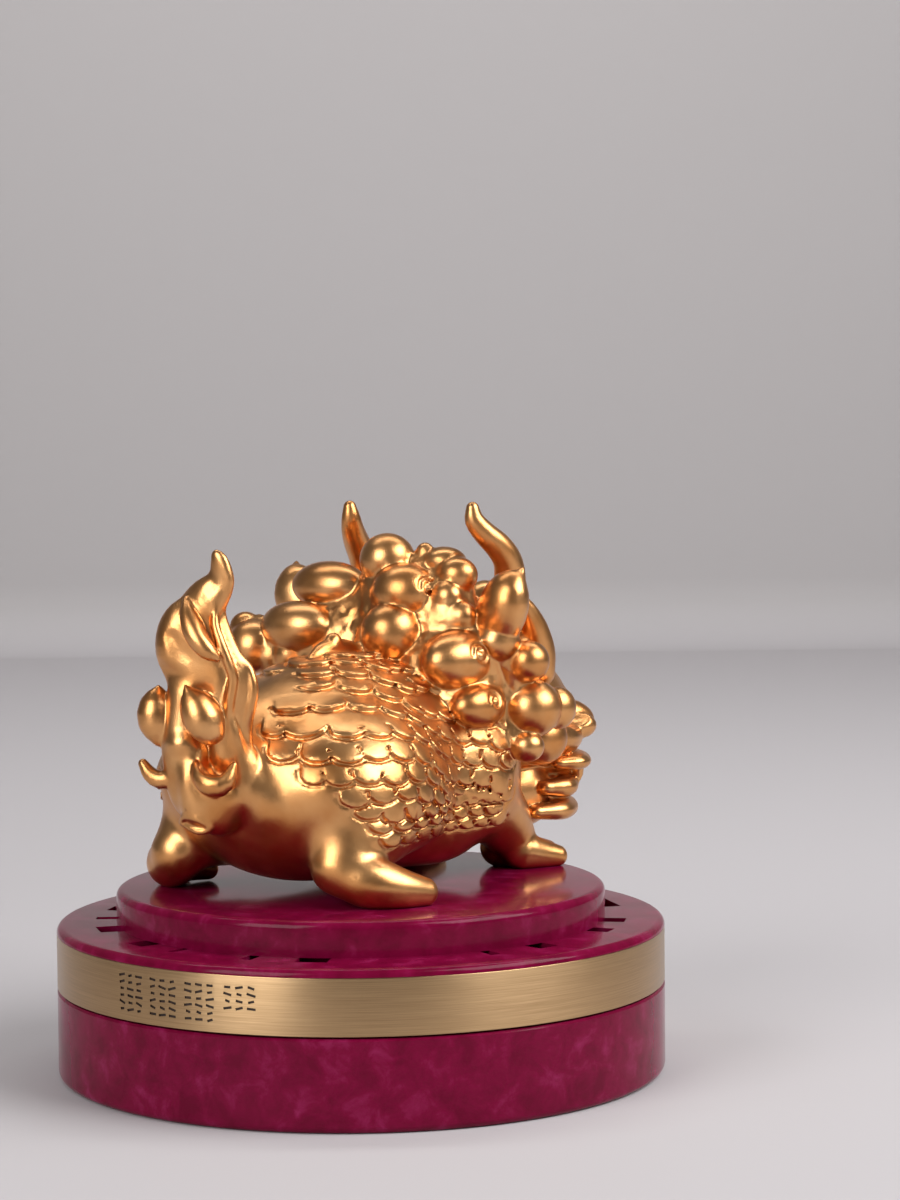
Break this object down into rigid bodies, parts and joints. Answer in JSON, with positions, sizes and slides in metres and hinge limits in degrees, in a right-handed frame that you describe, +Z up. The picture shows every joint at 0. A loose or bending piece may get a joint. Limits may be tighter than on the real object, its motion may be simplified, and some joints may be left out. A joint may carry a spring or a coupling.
{
  "type": "pixiu figure on a round stand",
  "caption": "Cast bronze-gold pixiu with horns, curled mane, flame tail and scaled back, on a round hollow stand with a vented lid, brass band and raised disc.",
  "frame": {"origin": "centre of the drum's foot, on the surface it stands on", "axes": "+Z up along the drum's axis, +X the way the beast's body faces, +Y to its left"},
  "size_m": [0.0908, 0.09, 0.0837],
  "materials": {
    "gilt_bronze": "satin, warm red-gold",
    "stand_stone": "polished, clouded imitation stone",
    "band_brass": "brushed around the drum"
  },
  "bodies": {
    "root": {"base_box": "stand_stone", "lid": "stand_stone", "top_disc": "stand_stone", "brass_band": "band_brass", "pixiu": "gilt_bronze"}
  },
  "joints": []
}
